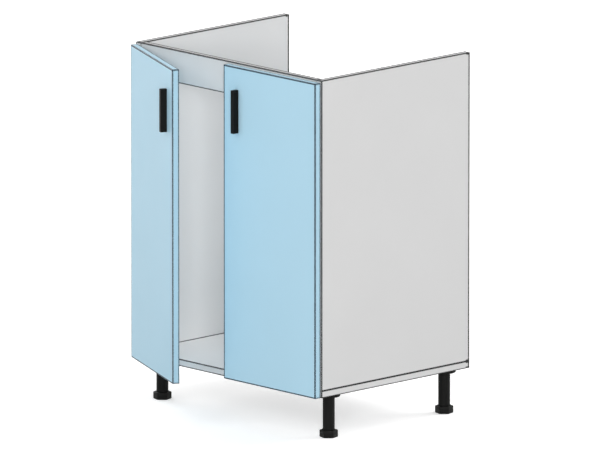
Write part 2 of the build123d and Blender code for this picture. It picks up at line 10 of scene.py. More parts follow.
import bmesh
import bpy
import numpy as np
from mathutils import Matrix, Vector
from mathutils.geometry import delaunay_2d_cdt


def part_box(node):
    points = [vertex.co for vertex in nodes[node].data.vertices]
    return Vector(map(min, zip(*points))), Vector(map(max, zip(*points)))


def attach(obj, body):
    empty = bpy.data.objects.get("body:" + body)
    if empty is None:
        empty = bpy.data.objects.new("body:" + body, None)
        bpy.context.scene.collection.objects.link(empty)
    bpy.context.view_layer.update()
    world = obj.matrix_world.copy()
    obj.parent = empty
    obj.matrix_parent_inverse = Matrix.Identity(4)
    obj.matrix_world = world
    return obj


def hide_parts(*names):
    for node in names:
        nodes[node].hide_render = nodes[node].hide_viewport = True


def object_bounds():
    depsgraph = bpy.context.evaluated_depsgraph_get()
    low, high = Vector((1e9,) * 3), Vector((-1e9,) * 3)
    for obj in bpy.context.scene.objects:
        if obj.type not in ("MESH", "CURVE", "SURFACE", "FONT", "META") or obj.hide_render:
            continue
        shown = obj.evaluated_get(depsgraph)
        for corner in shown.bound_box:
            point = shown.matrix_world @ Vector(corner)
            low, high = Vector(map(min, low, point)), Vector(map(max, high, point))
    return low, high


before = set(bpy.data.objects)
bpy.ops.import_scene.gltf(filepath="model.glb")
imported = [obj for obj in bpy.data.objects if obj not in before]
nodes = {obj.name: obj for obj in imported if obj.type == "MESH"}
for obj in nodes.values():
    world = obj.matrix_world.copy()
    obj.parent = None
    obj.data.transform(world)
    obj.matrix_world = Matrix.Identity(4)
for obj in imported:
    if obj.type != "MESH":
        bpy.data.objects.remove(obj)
cad_low, cad_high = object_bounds()
MM = 0.001


# ---------------------------------------------------------------- carcass boards
# The sides, the bottom and the two rails are 16 mm chipboard faced with light-grey melamine paper, pressed
# against a finely pearled plate and left bare at the back. Each arris carries a thin painted shade line,
# drawn wide so that it shows, most of all on narrow tops and at the back. Each cut arris shows as a thin
# dark line of resin, drawn coarser than the real one so that it shows, most of all on narrow tops and at
# the back.

SIDES = ["left_side_panel", "right_side_panel"]
RAILS = ["front_rail", "rear_rail"]
MELAMINE_GREY = "D5D5D5"
MELAMINE_ROUGHNESS = 0.5
FACING_IOR = 1.5
FACING_SPECULAR = 0.25
PEARL_SIZE = 1.6 * MM
PEARL_DEPTH = 0.05 * MM
CLOUD_SIZE = 180 * MM
CLOUD_DRIFT = 0.012
SHEEN_SIZE = 60 * MM
SHEEN_DRIFT = 0.02
NOISE_SPAN = (0.3, 0.7)
# Dark grey of the painted shade line along each arris of the grey boards and bands.
GREY_EDGE_SHADE = "202020"
ARRIS_WIDTH = 4.5 * MM
TOP_ARRIS_WIDTH = 11 * MM
TOP_FACING = (0.8, 0.95)
BACK_ARRIS_WIDTH = 9 * MM
BACK_REACH = (12 * MM, 10 * MM)
ARRIS_AGREEMENT = (0.9975, 0.984)
ARRIS_SAMPLES = 16
BACK_PLAY = 0.3 * MM
BACK_FACING = 0.7
CHIP_LIGHT = "D9BF95"
CHIP_DARK = "8A6840"
CHIP_SIZE = 2.6 * MM
CHIP_DEPTH = 0.3 * MM
CHIP_ROUGHNESS = 0.85
GLUE_SIZE = 0.7 * MM
GLUE_SPAN = (0.35, 0.6)
GLUE_TONES = (0.65, 1.0)


def linear(hex_colour):
    """Turns an sRGB hex colour into a linear RGBA colour."""
    channels = [int(hex_colour[i:i + 2], 16) / 255 for i in (0, 2, 4)]
    return [c / 12.92 if c <= 0.04045 else ((c + 0.055) / 1.055) ** 2.4 for c in channels] + [1.0]


def add(tree, kind, inputs=None, **settings):
    """Adds a node with its settings, gives each input a value or a link, and returns the node."""
    node = tree.nodes.new(kind)
    for name, value in settings.items():
        setattr(node, name, value)
    for name, value in (inputs or {}).items():
        if isinstance(value, bpy.types.NodeSocket):
            tree.links.new(value, node.inputs[name])
        else:
            node.inputs[name].default_value = value
    return node


def new_material(name):
    """An empty node material and its tree."""
    material = bpy.data.materials.new(name)
    material.use_nodes = True
    material.node_tree.nodes.clear()
    return material, material.node_tree


def finish_surface(tree, **inputs):
    """Ends a material's tree in a Principled shader with these inputs."""
    named = {name.replace("_", " "): value for name, value in inputs.items()}
    shader = add(tree, "ShaderNodeBsdfPrincipled", named)
    add(tree, "ShaderNodeOutputMaterial", {"Surface": shader.outputs["BSDF"]})


def noise(tree, size, detail=2.0, roughness=0.5):
    """Noise on Object coordinates whose lumps are about a given size."""
    place = add(tree, "ShaderNodeTexCoord")
    return add(tree, "ShaderNodeTexNoise", {"Vector": place.outputs["Object"], "Scale": 1 / size,
                                            "Detail": detail, "Roughness": roughness}).outputs["Fac"]


def spread(tree, value, low, high, to_low, to_high):
    """Maps a value from one range to another and holds it there."""
    return add(tree, "ShaderNodeMapRange", {"Value": value, "From Min": low, "From Max": high,
                                            "To Min": to_low, "To Max": to_high}).outputs["Result"]


def drifting(tree, value, middle, amount):
    """A number that a noise moves up and down about its middle."""
    return spread(tree, value, *NOISE_SPAN, middle - amount, middle + amount)


def scaled(tree, colour, share):
    """A colour, or another vector, times a number."""
    grown = add(tree, "ShaderNodeVectorMath", {0: colour, "Scale": share}, operation="SCALE")
    return grown.outputs["Vector"]


def clouded(tree, colour, size, amount):
    """A colour that drifts a little lighter and darker over a given size."""
    return scaled(tree, linear(colour)[:3], drifting(tree, noise(tree, size), 1, amount))


def mixed(tree, share, first, second):
    """A share of the second colour over the first."""
    return add(tree, "ShaderNodeMix", {0: share, 6: first, 7: second}, data_type="RGBA").outputs[2]


def of_two(tree, operation, first, second):
    """What one of the math operations makes of two numbers."""
    return add(tree, "ShaderNodeMath", {0: first, 1: second}, operation=operation).outputs[0]


def between(tree, share, first, second):
    """A share of the second number over the first."""
    return add(tree, "ShaderNodeMix", {0: share, 2: first, 3: second}).outputs[0]


def depth_of(tree):
    """How far back a point of the surface lies."""
    place = add(tree, "ShaderNodeTexCoord").outputs["Object"]
    return add(tree, "ShaderNodeSeparateXYZ", {0: place}).outputs["Y"]


def bare_back(tree, back):
    """1 on the faces that look to the wall from a given depth, and 0 elsewhere."""
    flat = add(tree, "ShaderNodeNewGeometry").outputs["Normal"]
    way = add(tree, "ShaderNodeSeparateXYZ", {0: flat}).outputs["Y"]
    reached = of_two(tree, "GREATER_THAN", depth_of(tree), back - BACK_PLAY)
    return of_two(tree, "MULTIPLY", reached, of_two(tree, "GREATER_THAN", way, BACK_FACING))


def chips(tree):
    """Pressed wood chips, each flake in a tone of its own, with glue dust between; and their tone alone."""
    place = add(tree, "ShaderNodeTexCoord").outputs["Object"]
    flakes = add(tree, "ShaderNodeTexVoronoi", {"Vector": place, "Scale": 1 / CHIP_SIZE})
    tone = add(tree, "ShaderNodeSeparateColor", {0: flakes.outputs["Color"]}).outputs[0]
    wood = mixed(tree, tone, linear(CHIP_DARK), linear(CHIP_LIGHT))
    dust = spread(tree, noise(tree, GLUE_SIZE, detail=3.0), *GLUE_SPAN, *GLUE_TONES)
    return scaled(tree, wood, dust), tone


def with_painted_edge_shade(tree, colour, edge_shade_colour, top_width, back, bare):
    """A colour with a thin painted shade line on each sharp edge, found by how a rounded edge would turn.
    """
    flat = add(tree, "ShaderNodeNewGeometry").outputs["Normal"]
    up = add(tree, "ShaderNodeSeparateXYZ", {0: flat}).outputs["Z"]
    width = spread(tree, up, *TOP_FACING, ARRIS_WIDTH, top_width)
    if back is not None:
        far, near = [back - reach for reach in BACK_REACH]
        near_back = spread(tree, depth_of(tree), far, near, ARRIS_WIDTH, BACK_ARRIS_WIDTH)
        width = of_two(tree, "MAXIMUM", width, between(tree, bare, near_back, ARRIS_WIDTH))
    rounded = add(tree, "ShaderNodeBevel", {"Radius": width}, samples=ARRIS_SAMPLES).outputs["Normal"]
    agree = add(tree, "ShaderNodeVectorMath", {0: rounded, 1: flat}, operation="DOT_PRODUCT")
    # The line is painted shade, laid on where the rounded normal turns away from the flat one.
    line = spread(tree, agree.outputs["Value"], *ARRIS_AGREEMENT, 0.0, 1.0)
    return mixed(tree, line, colour, linear(edge_shade_colour))


def bumped(tree, height, depth):
    """A surface normal raised by a height from 0 to 1."""
    return add(tree, "ShaderNodeBump", {"Height": height, "Distance": depth,
                                        "Strength": 1.0}).outputs["Normal"]


def facing(name, colour, edge_shade_colour, roughness, back=None, top_arris=TOP_ARRIS_WIDTH):
    """Melamine or laminate: pearled, even in colour, with painted shade at its arrises, bare at the back.
    """
    material, tree = new_material(name)
    face = clouded(tree, colour, CLOUD_SIZE, CLOUD_DRIFT)
    height = noise(tree, PEARL_SIZE, detail=1.0)
    sheen = drifting(tree, noise(tree, SHEEN_SIZE), roughness, SHEEN_DRIFT)
    bare = None
    if back is not None:
        bare = bare_back(tree, back)
        wood, tone = chips(tree)
        face = mixed(tree, bare, face, wood)
        sheen = between(tree, bare, sheen, CHIP_ROUGHNESS)
        height = between(tree, bare, height, of_two(tree, "MULTIPLY", tone, CHIP_DEPTH / PEARL_DEPTH))
    finish_surface(tree, Base_Color=with_painted_edge_shade(tree, face, edge_shade_colour, top_arris, back, bare),
                   Roughness=sheen, IOR=FACING_IOR, Specular_IOR_Level=FACING_SPECULAR,
                   Normal=bumped(tree, height, PEARL_DEPTH))
    return material


def give(names, material):
    """Gives CAD nodes a material, in every slot."""
    for name in names:
        for slot in nodes[name].material_slots:
            slot.material = material


carcass_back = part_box("left_side_panel")[1].y
give(SIDES, facing("melamine_faced_side", MELAMINE_GREY, GREY_EDGE_SHADE, MELAMINE_ROUGHNESS, carcass_back))
give(["bottom_panel"], facing("melamine_faced_bottom", MELAMINE_GREY, GREY_EDGE_SHADE, MELAMINE_ROUGHNESS,
                              carcass_back, top_arris=ARRIS_WIDTH))
give(RAILS, facing("melamine_faced_rail", MELAMINE_GREY, GREY_EDGE_SHADE, MELAMINE_ROUGHNESS))


# ---------------------------------------------------------------- carcass edge bands
# Grey ABS bands, 1 mm thick, glued on the front edges of the sides, the bottom and the front rail and
# trimmed flush. The strip is extruded, so it is smoother than the boards' faces.

BAND_ROUGHNESS = 0.42

give(["front_bands"], facing("abs_edge_band_grey", MELAMINE_GREY, GREY_EDGE_SHADE, BAND_ROUGHNESS))


# ---------------------------------------------------------------- joinery
# Beech dowels line the boards up. Cams turned on bolts pull the rails to the sides, and flat-headed
# assembly screws hold the sides down on the bottom panel. Only cam faces and screw heads stay in sight.

DOWEL_BEECH = "D9BC93"
BEECH_ROUGHNESS = 0.7
FLECKS_PER_METRE = 900.0
FLECK_STRETCH = (1, 1, 0.2)
FLECK_SPAN = (0.35, 0.65)
FLECK_TONES = (0.85, 1.08)
ZINC_PLATE = "B9BBBC"
DIE_CAST = "9FA2A4"
METAL_CLOUD_SIZE = 12 * MM
METAL_CLOUD_DRIFT = 0.03
METAL_SHEEN_DRIFT = 0.06
ROUND_SIDES = 24
SHARP_ANGLE = 35.0
CAP_TOLERANCE = 1e-9
MERGE_DISTANCE = 0.002 * MM
RECESS_TAPER = (0.7, 0.45)
CAM_PROFILE_MM = [(6.9, 0.0), (7.5, -0.4), (7.5, -12.5)]
CAM_CROSS_MM = (1.0, 3.4, 3.0)
CAM_MOST_TURN = 0.6
ASSEMBLY_PROFILE_MM = [(4.5, 0.0), (4.8, -0.3), (4.8, -2.4), (3.2, -4.0), (3.2, -50.0)]
ASSEMBLY_CROSS_MM = (0.75, 2.6, 2.4)


def metal(name, colour, roughness, grain_size, grain_depth):
    """A plated or cast metal, slightly uneven in its sheen."""
    material, tree = new_material(name)
    grain = noise(tree, grain_size, detail=3.0)
    finish_surface(tree, Base_Color=clouded(tree, colour, METAL_CLOUD_SIZE, METAL_CLOUD_DRIFT),
                   Metallic=1.0, Roughness=drifting(tree, grain, roughness, METAL_SHEEN_DRIFT),
                   Normal=bumped(tree, grain, grain_depth))
    return material


def beech(name, colour):
    """Bare turned beech with its short flecks along the grain."""
    material, tree = new_material(name)
    place = add(tree, "ShaderNodeTexCoord").outputs["Object"]
    stretched = add(tree, "ShaderNodeMapping", {"Vector": place, "Scale": FLECK_STRETCH}).outputs["Vector"]
    fleck = add(tree, "ShaderNodeTexNoise", {"Vector": stretched, "Scale": FLECKS_PER_METRE,
                                             "Detail": 3.0}).outputs["Fac"]
    tone = spread(tree, fleck, *FLECK_SPAN, *FLECK_TONES)
    finish_surface(tree, Base_Color=scaled(tree, linear(colour)[:3], tone), Roughness=BEECH_ROUGHNESS)
    return material


def new_object(name, mesh):
    """An object of a mesh, in the scene."""
    made = bpy.data.objects.new(name, mesh)
    bpy.context.scene.collection.objects.link(made)
    return made


def shade(mesh):
    """Smooth shading that breaks at sharp edges."""
    mesh.polygons.foreach_set("use_smooth", [True] * len(mesh.polygons))
    mesh.set_sharp_from_angle(angle=math.radians(SHARP_ANGLE))


def finished_mesh(name, shape):
    """Turns a bmesh into a mesh whose faces point outwards."""
    bmesh.ops.recalc_face_normals(shape, faces=shape.faces)
    mesh = bpy.data.meshes.new(name)
    shape.to_mesh(mesh)
    shape.free()
    shade(mesh)
    return mesh


def ring(shape, points, height):
    """A closed row of corners at one height."""
    return [shape.verts.new((x, y, height)) for x, y in points]


def wall(shape, upper, lower):
    """Faces between two rows of equally many corners."""
    for i in range(len(upper)):
        j = (i + 1) % len(upper)
        shape.faces.new((upper[i], lower[i], lower[j], upper[j]))


def pierced_cap(shape, outer, inner):
    """Flat faces between an outer row and a row inside it."""
    corners = outer + inner
    loops = [list(range(len(outer))), list(range(len(outer), len(corners)))]
    flat = [Vector((corner.co.x, corner.co.y)) for corner in corners]
    _, _, triangles, sources, _, insides = delaunay_2d_cdt(flat, [], loops, 0, CAP_TOLERANCE)
    for triangle, inside in zip(triangles, insides):
        if inside == [0]:
            shape.faces.new([corners[sources[k][0]] for k in triangle])


def circle(radius, sides=ROUND_SIDES):
    """Points round a circle."""
    turns = [2 * math.pi * i / sides for i in range(sides)]
    return [(radius * math.cos(turn), radius * math.sin(turn)) for turn in turns]


def cross(half, reach):
    """The outline of a cross recess."""
    quarter = [(reach, half), (half, half), (half, reach)]
    across = [(-x, y) for x, y in reversed(quarter)]
    return quarter + across + [(-x, -y) for x, y in quarter + across]


def turned_piece(name, profile_mm, cross_mm=None):
    """A round piece that looks up from the origin, with a cross recess in its face if it has a size."""
    shape = bmesh.new()
    rows = [ring(shape, circle(radius * MM), height * MM) for radius, height in profile_mm]
    for upper, lower in zip(rows, rows[1:]):
        wall(shape, upper, lower)
    shape.faces.new(rows[-1])
    if cross_mm is None:
        shape.faces.new(rows[0])
    else:
        half, reach, depth = [value * MM for value in cross_mm]
        top = profile_mm[0][1] * MM
        mouth = ring(shape, cross(half, reach), top)
        floor = ring(shape, cross(half * RECESS_TAPER[0], reach * RECESS_TAPER[1]), top - depth)
        pierced_cap(shape, rows[0], mouth)
        wall(shape, mouth, floor)
        shape.faces.new(floor)
    return new_object(name, finished_mesh(name, shape))


def shape_tree(name, inputs):
    """A Geometry Nodes tree with named inputs and one shape as its output; and what its inputs give."""
    tree = bpy.data.node_groups.new(name, "GeometryNodeTree")
    for label, kind in inputs.items():
        tree.interface.new_socket(label, in_out="INPUT", socket_type="NodeSocket" + kind)
    tree.interface.new_socket("Shape", in_out="OUTPUT", socket_type="NodeSocketGeometry")
    return tree, add(tree, "NodeGroupInput").outputs


def finish_shape(tree, shape, finish):
    """Ends a shape's tree in a real mesh with its material."""
    real = add(tree, "GeometryNodeRealizeInstances", {"Geometry": shape}).outputs[0]
    done = add(tree, "GeometryNodeSetMaterial", {"Geometry": real, "Material": finish}).outputs[0]
    add(tree, "NodeGroupOutput", {"Shape": done})


def setting_tree():
    """Sets a piece on every point, looking along the point's aim and turned at random about it."""
    tree, given = shape_tree("set_on_points", {"Points": "Geometry", "Piece": "Object",
                                               "Most Turn": "Float", "Seed": "Int", "Finish": "Material"})
    piece = add(tree, "GeometryNodeObjectInfo", {"Object": given["Piece"]}).outputs["Geometry"]
    aim = add(tree, "GeometryNodeInputNamedAttribute", {"Name": "aim"}, data_type="FLOAT_VECTOR").outputs[0]
    aimed = add(tree, "FunctionNodeAlignRotationToVector", {"Vector": aim}, axis="Z").outputs[0]
    chance = add(tree, "FunctionNodeRandomValue", {2: 0.0, 3: given["Most Turn"], "Seed": given["Seed"]},
                 data_type="FLOAT").outputs[1]
    turn = add(tree, "FunctionNodeAxisAngleToRotation", {"Axis": (0, 0, 1), "Angle": chance}).outputs[0]
    turned = add(tree, "FunctionNodeRotateRotation", {"Rotation": aimed, "Rotate By": turn},
                 rotation_space="LOCAL").outputs[0]
    copies = add(tree, "GeometryNodeInstanceOnPoints", {"Points": given["Points"], "Instance": piece,
                                                        "Rotation": turned}).outputs[0]
    finish_shape(tree, copies, given["Finish"])
    return tree


SETTING = setting_tree()


def shaped_by(holder, tree, values):
    """The plain mesh that a Geometry Nodes tree makes on an object, which is then removed."""
    named = {item.name: item.identifier for item in tree.interface.items_tree if item.in_out == "INPUT"}
    modifier = holder.modifiers.new("shape", "NODES")
    modifier.node_group = tree
    for name, value in values.items():
        modifier[named[name]] = value
    seen = holder.evaluated_get(bpy.context.evaluated_depsgraph_get())
    mesh = bpy.data.meshes.new_from_object(seen)
    holder.modifiers.clear()
    bpy.data.objects.remove(holder)
    return mesh


def loose_solids(name):
    """The corners of each separate solid in a CAD node, in order, from a merged copy of its mesh."""
    shape = bmesh.new()
    shape.from_mesh(nodes[name].data)
    bmesh.ops.remove_doubles(shape, verts=shape.verts, dist=MERGE_DISTANCE)
    done = set()
    solids = []
    for start in shape.verts:
        if start in done:
            continue
        done.add(start)
        solid = [start]
        for corner in solid:
            fresh = [edge.other_vert(corner) for edge in corner.link_edges]
            fresh = [other for other in fresh if other not in done]
            done.update(fresh)
            solid += fresh
        solids.append(np.array([corner.co[:] for corner in solid]))
    shape.free()
    return solids


def head_of(corners):
    """A round fastener's face: its middle, the way it looks, and its radius."""
    middle = corners.mean(axis=0)
    way = np.linalg.svd(corners - middle)[2][0]
    along = (corners - middle) @ way
    off = np.linalg.norm((corners - middle) - np.outer(along, way), axis=1)
    half_way = (along.max() + along.min()) / 2
    if off[along > half_way].max() < off[along < half_way].max():
        way, along = -way, -along
    return middle + way * along.max(), way, off.max()


def heads_of(name):
    """The faces of all the round fasteners in a CAD node."""
    return [head_of(solid) for solid in loose_solids(name)]


def set_pieces(name, body, replaced, faces, piece, finish, most_turn=2 * math.pi, seed=1):
    """Puts a copy of a piece on each given face, as one plain mesh on a body, in a CAD node's stead."""
    cloud = bpy.data.meshes.new(name + "_places")
    cloud.from_pydata([tuple(face[0]) for face in faces], [], [])
    aims = cloud.attributes.new("aim", "FLOAT_VECTOR", "POINT")
    aims.data.foreach_set("vector", [value for face in faces for value in face[1]])
    mesh = shaped_by(new_object(name + "_places", cloud), SETTING,
                     {"Piece": piece, "Most Turn": most_turn, "Seed": seed, "Finish": finish})
    made = new_object(name, mesh)
    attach(made, body)
    if replaced:
        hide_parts(replaced)


def cam_face(corners):
    """A cam's face, which looks across the inside of the cabinet from its rail."""
    low, high = corners.min(axis=0), corners.max(axis=0)
    middle = (low + high) / 2
    inwards = 1 if middle[1] < (cad_low.y + cad_high.y) / 2 else -1
    middle[1] = high[1] if inwards > 0 else low[1]
    return middle, (0, inwards, 0)


give(["dowels"], beech("turned_beech", DOWEL_BEECH))
zinc_plate = metal("zinc_plated_steel", ZINC_PLATE, roughness=0.32, grain_size=0.4 * MM,
                   grain_depth=0.01 * MM)
die_cast = metal("die_cast_zinc", DIE_CAST, roughness=0.5, grain_size=0.6 * MM, grain_depth=0.03 * MM)
give(["cam_bolts"], zinc_plate)
cam = turned_piece("cam", CAM_PROFILE_MM, CAM_CROSS_MM)
cam_faces = [cam_face(solid) for solid in loose_solids("cams")]
set_pieces("rail_cams", "carcass", "cams", cam_faces, cam, die_cast, most_turn=CAM_MOST_TURN, seed=3)
assembly_screw = turned_piece("assembly_screw", ASSEMBLY_PROFILE_MM, ASSEMBLY_CROSS_MM)
set_pieces("bottom_assembly_screws", "carcass", "assembly_screws", heads_of("assembly_screws"),
           assembly_screw, zinc_plate, seed=5)
bpy.data.objects.remove(cam)
bpy.data.objects.remove(assembly_screw)


# ---------------------------------------------------------------- legs
# Four moulded black polypropylene legs: a flange screwed under the bottom, a tube with a nut in its end,
# and a six-sided foot whose coarse moulded thread screws up into the tube. The mould leaves a fine even
# spark-eroded texture. The black is written darker than it looks, because its sheen adds to it.

LEG_PLACES = ["front_left", "front_right", "rear_left", "rear_right"]
MOULDED_BLACK = "0D0D0C"
MOULDED_IOR = 1.49
MOULDED_CLOUD_SIZE = 30 * MM
MOULDED_CLOUD_DRIFT = 0.05
MOULDED_SHEEN_SIZE = 8 * MM
MOULDED_SHEEN_DRIFT = 0.04
SPARK_SIZE = 0.9 * MM
SPARK_DEPTH = 0.04 * MM
FOOT_SIDES = 6
FOOT_ACROSS_CORNERS = 41.8 * MM
FOOT_TURN = 45.0
FOOT_CORNER_ROUND = 2.0 * MM
LEAST_CORNER_ROUND = 0.5 * MM
CORNER_ROUND_LOSS = 0.3
CORNER_STEPS = 4
FOOT_HEIGHT = 16.5 * MM
FOOT_PROFILE_MM = [(4.5, 1.2), (4.5, 0.0), (1.4, 0.0), (0.4, 0.4), (0.0, 1.4), (0.0, 15.1), (0.4, 16.1),
                   (1.4, 16.5)]
WELL_RADIUS = 14.3 * MM
WELL_DEPTH = 12.0 * MM
WELL_CHAMFER = 0.5 * MM
WELL_SIDES = 48
THREAD_RADIUS = 8.0 * MM
THREAD_LENGTH = 55.0 * MM
THREAD_PITCH = 3.0 * MM
THREAD_DEPTH = 0.8 * MM
THREAD_FLANK = (0.14, 0.36)
THREAD_SIDES = 36
THREAD_ROWS = 110
WOOD_SCREW_PROFILE_MM = [(3.3, 0.0), (3.6, -0.15), (3.6, -0.5), (1.9, -2.2), (1.9, -14.0)]
WOOD_SCREW_CROSS_MM = (0.55, 2.1, 1.6)


def moulded(name, colour, roughness, specular):
    """Moulded plastic with a fine spark-eroded texture."""
    material, tree = new_material(name)
    grit = noise(tree, SPARK_SIZE, detail=2.0, roughness=0.6)
    sheen = drifting(tree, noise(tree, MOULDED_SHEEN_SIZE), roughness, MOULDED_SHEEN_DRIFT)
    finish_surface(tree, Base_Color=clouded(tree, colour, MOULDED_CLOUD_SIZE, MOULDED_CLOUD_DRIFT),
                   Roughness=sheen, IOR=MOULDED_IOR, Specular_IOR_Level=specular,
                   Normal=bumped(tree, grit, SPARK_DEPTH))
    return material


def thread_tree():
    """A rod with a coarse thread wound round it, standing on the origin."""
    tree, given = shape_tree("threaded_rod", {"Holder": "Geometry", "Length": "Float", "Radius": "Float",
                                              "Pitch": "Float", "Depth": "Float", "Rows": "Int",
                                              "Finish": "Material"})
    root = of_two(tree, "SUBTRACT", given["Radius"], given["Depth"])
    rod = add(tree, "GeometryNodeMeshCylinder", {"Vertices": THREAD_SIDES, "Side Segments": given["Rows"],
                                                 "Radius": root, "Depth": given["Length"]}).outputs["Mesh"]
    place = add(tree, "GeometryNodeInputPosition").outputs[0]
    part = add(tree, "ShaderNodeSeparateXYZ", {0: place}).outputs
    about = of_two(tree, "DIVIDE", of_two(tree, "ARCTAN2", part["Y"], part["X"]), 2 * math.pi)
    climb = of_two(tree, "DIVIDE", part["Z"], given["Pitch"])
    slope = of_two(tree, "PINGPONG", of_two(tree, "SUBTRACT", climb, about), 0.5)
    rise = of_two(tree, "MULTIPLY", spread(tree, slope, *THREAD_FLANK, 0.0, 1.0), given["Depth"])
    flat = add(tree, "ShaderNodeCombineXYZ", {"X": part["X"], "Y": part["Y"]}).outputs[0]
    out = add(tree, "ShaderNodeVectorMath", {0: flat}, operation="NORMALIZE").outputs[0]
    wound = add(tree, "GeometryNodeSetPosition", {"Geometry": rod, "Offset": scaled(tree, out, rise)})
    lift = add(tree, "ShaderNodeCombineXYZ", {"Z": of_two(tree, "MULTIPLY", given["Length"], 0.5)})
    stood = add(tree, "GeometryNodeTransform", {"Geometry": wound.outputs[0],
                                                "Translation": lift.outputs[0]}).outputs[0]
    finish_shape(tree, stood, given["Finish"])
    return tree


def hexagon(inset):
    """A six-sided outline with rounded corners, drawn in by an inset."""
    half_side = math.pi / FOOT_SIDES
    flat = FOOT_ACROSS_CORNERS / 2 * math.cos(half_side) - inset
    corner_round = max(FOOT_CORNER_ROUND - inset * CORNER_ROUND_LOSS, LEAST_CORNER_ROUND)
    reach = (flat - corner_round) / math.cos(half_side)
    points = []
    for corner in range(FOOT_SIDES):
        middle = math.radians(FOOT_TURN) + 2 * half_side * corner
        for step in range(CORNER_STEPS + 1):
            turn = middle + half_side * (2 * step / CORNER_STEPS - 1)
            points.append((reach * math.cos(middle) + corner_round * math.cos(turn),
                           reach * math.sin(middle) + corner_round * math.sin(turn)))
    return points


def foot_mesh():
    """A six-sided foot with a well for the tube's end, hollowed a little underneath."""
    shape = bmesh.new()
    rows = [ring(shape, hexagon(inset * MM), height * MM) for inset, height in FOOT_PROFILE_MM]
    for lower, upper in zip(rows, rows[1:]):
        wall(shape, upper, lower)
    shape.faces.new(rows[0])
    lip = ring(shape, circle(WELL_RADIUS + WELL_CHAMFER, WELL_SIDES), FOOT_HEIGHT)
    mouth = ring(shape, circle(WELL_RADIUS, WELL_SIDES), FOOT_HEIGHT - WELL_CHAMFER)
    floor = ring(shape, circle(WELL_RADIUS, WELL_SIDES), FOOT_HEIGHT - WELL_DEPTH)
    pierced_cap(shape, rows[-1], lip)
    wall(shape, lip, mouth)
    wall(shape, mouth, floor)
    shape.faces.new(floor)
    return finished_mesh("foot", shape)


leg_plastic = moulded("moulded_polypropylene_black", MOULDED_BLACK, roughness=0.55, specular=0.12)
foot_shape = foot_mesh()
foot_shape.materials.append(leg_plastic)
THREAD = thread_tree()
for place in LEG_PLACES:
    give([place + "_leg_flange", place + "_leg_tube"], leg_plastic)
    low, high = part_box(place + "_foot")
    stand = Matrix.Translation(((low.x + high.x) / 2, (low.y + high.y) / 2, low.z))
    foot_copy = foot_shape.copy()
    foot_copy.transform(stand)
    foot = new_object(place + "_moulded_foot", foot_copy)
    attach(foot, place + "_foot")
    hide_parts(place + "_foot")
    blank = new_object("rod_holder", bpy.data.meshes.new("rod_holder"))
    rod_mesh = shaped_by(blank, THREAD, {"Length": THREAD_LENGTH, "Radius": THREAD_RADIUS,
                                         "Pitch": THREAD_PITCH, "Depth": THREAD_DEPTH, "Rows": THREAD_ROWS,
                                         "Finish": leg_plastic})
    rod_mesh.transform(stand @ Matrix.Translation((0, 0, FOOT_HEIGHT - WELL_DEPTH)))
    shade(rod_mesh)
    rod = new_object(place + "_foot_thread", rod_mesh)
    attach(rod, place + "_foot")
bpy.data.meshes.remove(foot_shape)

wood_screw = turned_piece("wood_screw", WOOD_SCREW_PROFILE_MM, WOOD_SCREW_CROSS_MM)
set_pieces("flange_screws", "carcass", "leg_screws", heads_of("leg_screws"), wood_screw, zinc_plate, seed=7)


# ---------------------------------------------------------------- hinges
# Concealed cup hinges, two a door: pressed steel, nickel plated, on cross-shaped plates screwed to the
# sides, with pins of bright steel. One screw holds each arm down on its plate, and a smaller one in the
# arm's web moves the door sideways.

NICKEL = "C9C5BD"
BRIGHT_PIN = "A8A8A6"
ARM_SCREW_PROFILE_MM = [(2.9, 0.0), (3.4, -0.5), (3.4, -2.4), (2.0, -2.4), (2.0, -16.4)]
ARM_SCREW_CROSS_MM = (0.6, 2.2, 1.9)
ADJUSTER_PROFILE_MM = [(2.5, 0.0), (2.8, -0.3), (2.8, -1.2)]
ADJUSTER_CROSS_MM = (0.5, 1.8, 1.0)
ADJUSTER_FROM_SCREW_MM = (1.7, -17.0)
ADJUSTER_WAY = (0.9755, 0.2196)
PLATE_HEAD_OVER = 3.5 * MM

nickel = metal("nickel_plated_steel", NICKEL, roughness=0.3, grain_size=0.3 * MM, grain_depth=0.003 * MM)
bright_steel = metal("bright_drawn_steel", BRIGHT_PIN, roughness=0.25, grain_size=0.3 * MM,
                     grain_depth=0.005 * MM)
arm_screw = turned_piece("arm_screw", ARM_SCREW_PROFILE_MM, ARM_SCREW_CROSS_MM)
adjuster = turned_piece("adjuster", ADJUSTER_PROFILE_MM, ADJUSTER_CROSS_MM)
for side, inwards in (("left", 1), ("right", -1)):
    for level in ("lower", "upper"):
        for piece in ("hinge_cup", "long_link", "short_link", "hinge_arm"):
            give([side + "_" + level + "_" + piece], nickel)
    give([side + "_mounting_plates"], nickel)
    give([side + "_cup_pins", side + "_arm_pins"], bright_steel)
    heads = heads_of(side + "_plate_screws")
    plate_heads = [head for head in heads if head[2] > PLATE_HEAD_OVER]
    arm_heads = [head for head in heads if head[2] < PLATE_HEAD_OVER]
    adjuster_step = np.array([inwards * ADJUSTER_FROM_SCREW_MM[0], ADJUSTER_FROM_SCREW_MM[1], 0]) * MM
    adjuster_way = (inwards * ADJUSTER_WAY[0], ADJUSTER_WAY[1], 0)
    adjuster_faces = [(head[0] + adjuster_step, adjuster_way) for head in arm_heads]
    set_pieces(side + "_plate_wood_screws", "carcass", side + "_plate_screws", plate_heads, wood_screw,
               zinc_plate, seed=11)
    set_pieces(side + "_arm_screws", "carcass", side + "_plate_screws", arm_heads, arm_screw,
               nickel, seed=13)
    set_pieces(side + "_arm_adjusters", "carcass", None, adjuster_faces, adjuster, nickel, seed=15)
bpy.data.objects.remove(arm_screw)
bpy.data.objects.remove(adjuster)
bpy.data.objects.remove(wood_screw)


# ---------------------------------------------------------------- doors
# Slab doors of 16 mm board faced in light-blue laminate, edged all round with a matching 1 mm band. The
# hinge cups are let into their backs and held by round-headed screws.

DOOR_BLUE = "B0D5E7"
